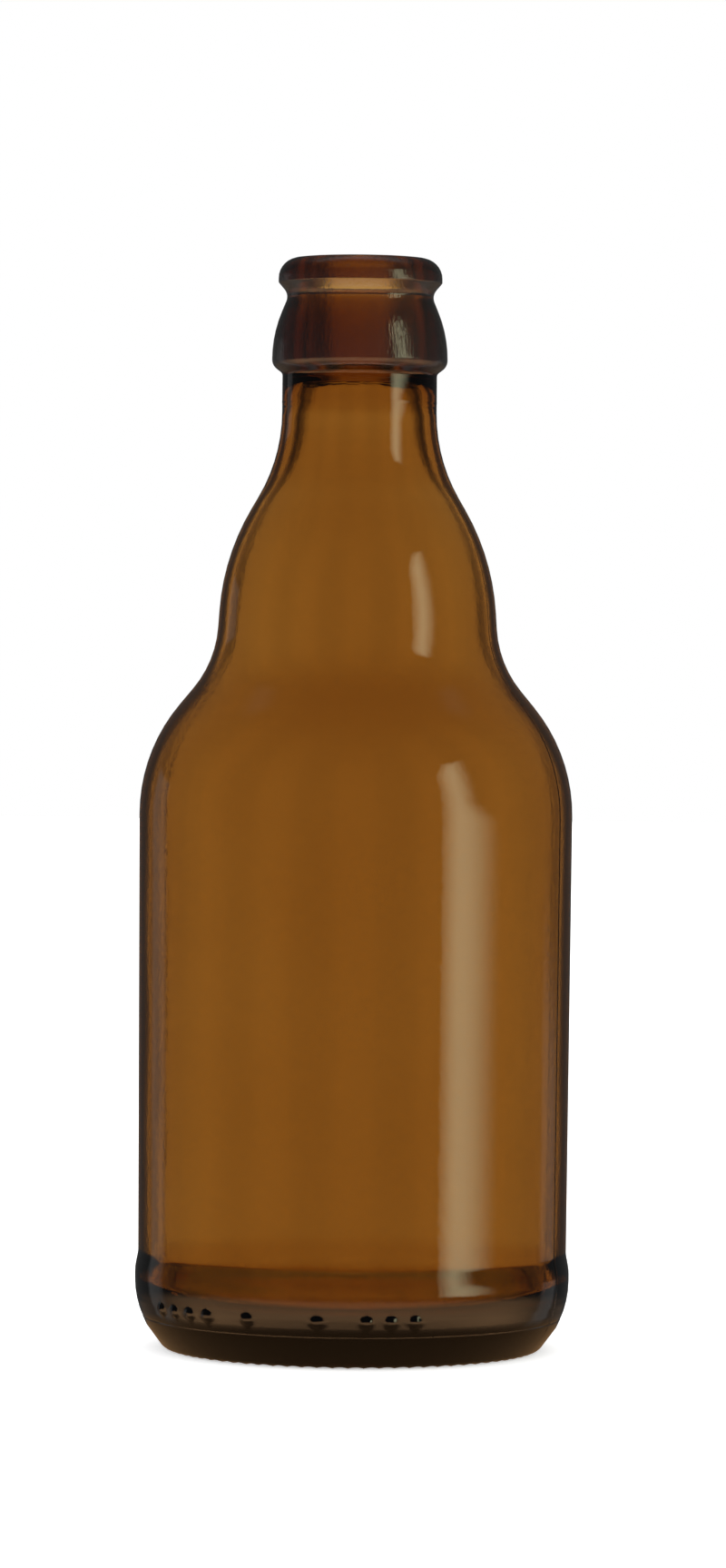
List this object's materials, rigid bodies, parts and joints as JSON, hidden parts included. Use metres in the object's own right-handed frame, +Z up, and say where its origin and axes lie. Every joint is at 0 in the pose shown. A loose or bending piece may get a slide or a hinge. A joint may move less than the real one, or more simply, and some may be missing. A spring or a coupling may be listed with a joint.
{
  "type": "stubby beer bottle",
  "caption": "Short glass beer bottle for a crown cap, open and empty: bulbed neck, round shoulders, straight body and a knurled foot it stands on.",
  "frame": {"origin": "centre of the plane that the bottle stands on, on its axis", "axes": "+Z up along the bottle's axis, from the base to the mouth; -Y towards the front, where the dots on the heel are"},
  "size_m": [0.0704, 0.0704, 0.1765],
  "materials": {
    "amber_glass": "clear amber glass, smooth and glossy"
  },
  "bodies": {
    "root": {"glass_bottle": "amber_glass"}
  },
  "joints": []
}
